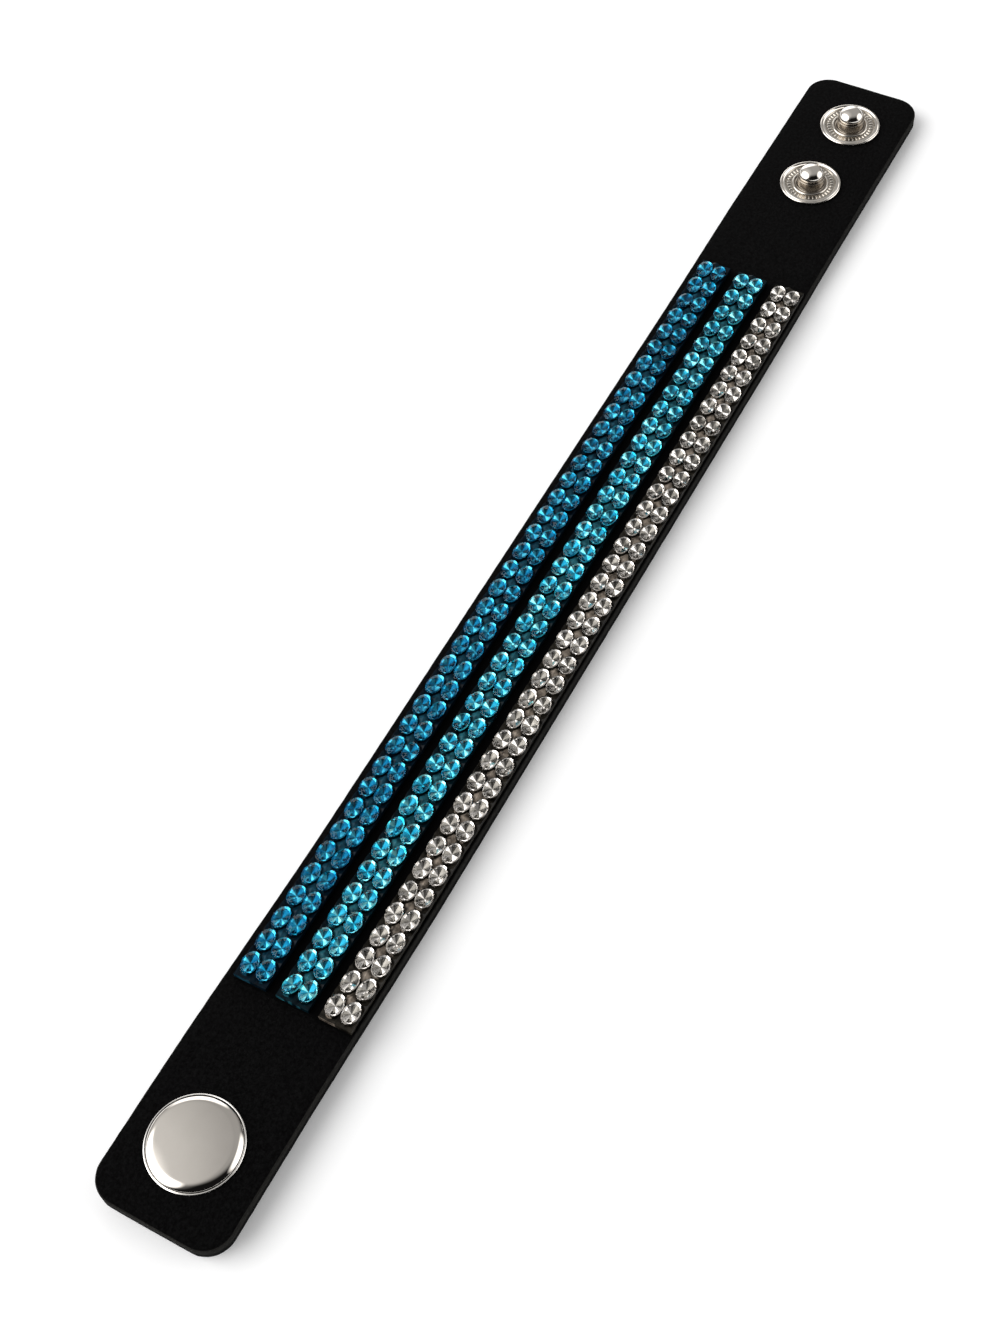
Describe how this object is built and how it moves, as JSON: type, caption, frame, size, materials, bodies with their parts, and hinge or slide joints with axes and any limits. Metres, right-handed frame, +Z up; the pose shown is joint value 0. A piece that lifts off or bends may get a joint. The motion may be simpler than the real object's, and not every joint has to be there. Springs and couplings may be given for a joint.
{
  "type": "rhinestone wristband",
  "caption": "Flat suede-cloth wristband with strips of oval cut stones, a domed snap cap at one end and adjustable studs at the other.",
  "frame": {"origin": "centre of the bounding box's footprint, on the surface that the wristband lies on", "axes": "+X along the strap from the snap cap to the studs, +Y across it to the deep blue strip, +Z up out of the stones"},
  "size_m": [0.229, 0.02, 0.0068],
  "materials": {
    "black_suede": "short even nap with lighter cut edges",
    "black_film": "thin flat film",
    "deep_blue_tape": "tinted moulded plastic",
    "aqua_tape": "tinted moulded plastic",
    "clear_tape": "clear moulded plastic over dark film",
    "deep_blue_stone": "polished facets over silver foil",
    "aqua_stone": "polished facets over silver foil",
    "clear_stone": "polished facets over silver foil",
    "polished_nickel": "bright warm nickel plate",
    "satin_nickel": "plain nickel plate"
  },
  "bodies": {
    "root": {"strap": "black_suede", "backing_film": "black_film", "tape_deep_blue": "deep_blue_tape", "tape_aqua": "aqua_tape", "tape_clear": "clear_tape", "stones_deep_blue": "deep_blue_stone", "stones_aqua": "aqua_stone", "stones_clear": "clear_stone", "snap_cap": "polished_nickel", "snap_socket": "satin_nickel", "stud_inner": "polished_nickel", "stud_outer": "polished_nickel", "stud_back_inner": "satin_nickel", "stud_back_outer": "satin_nickel"}
  },
  "joints": []
}
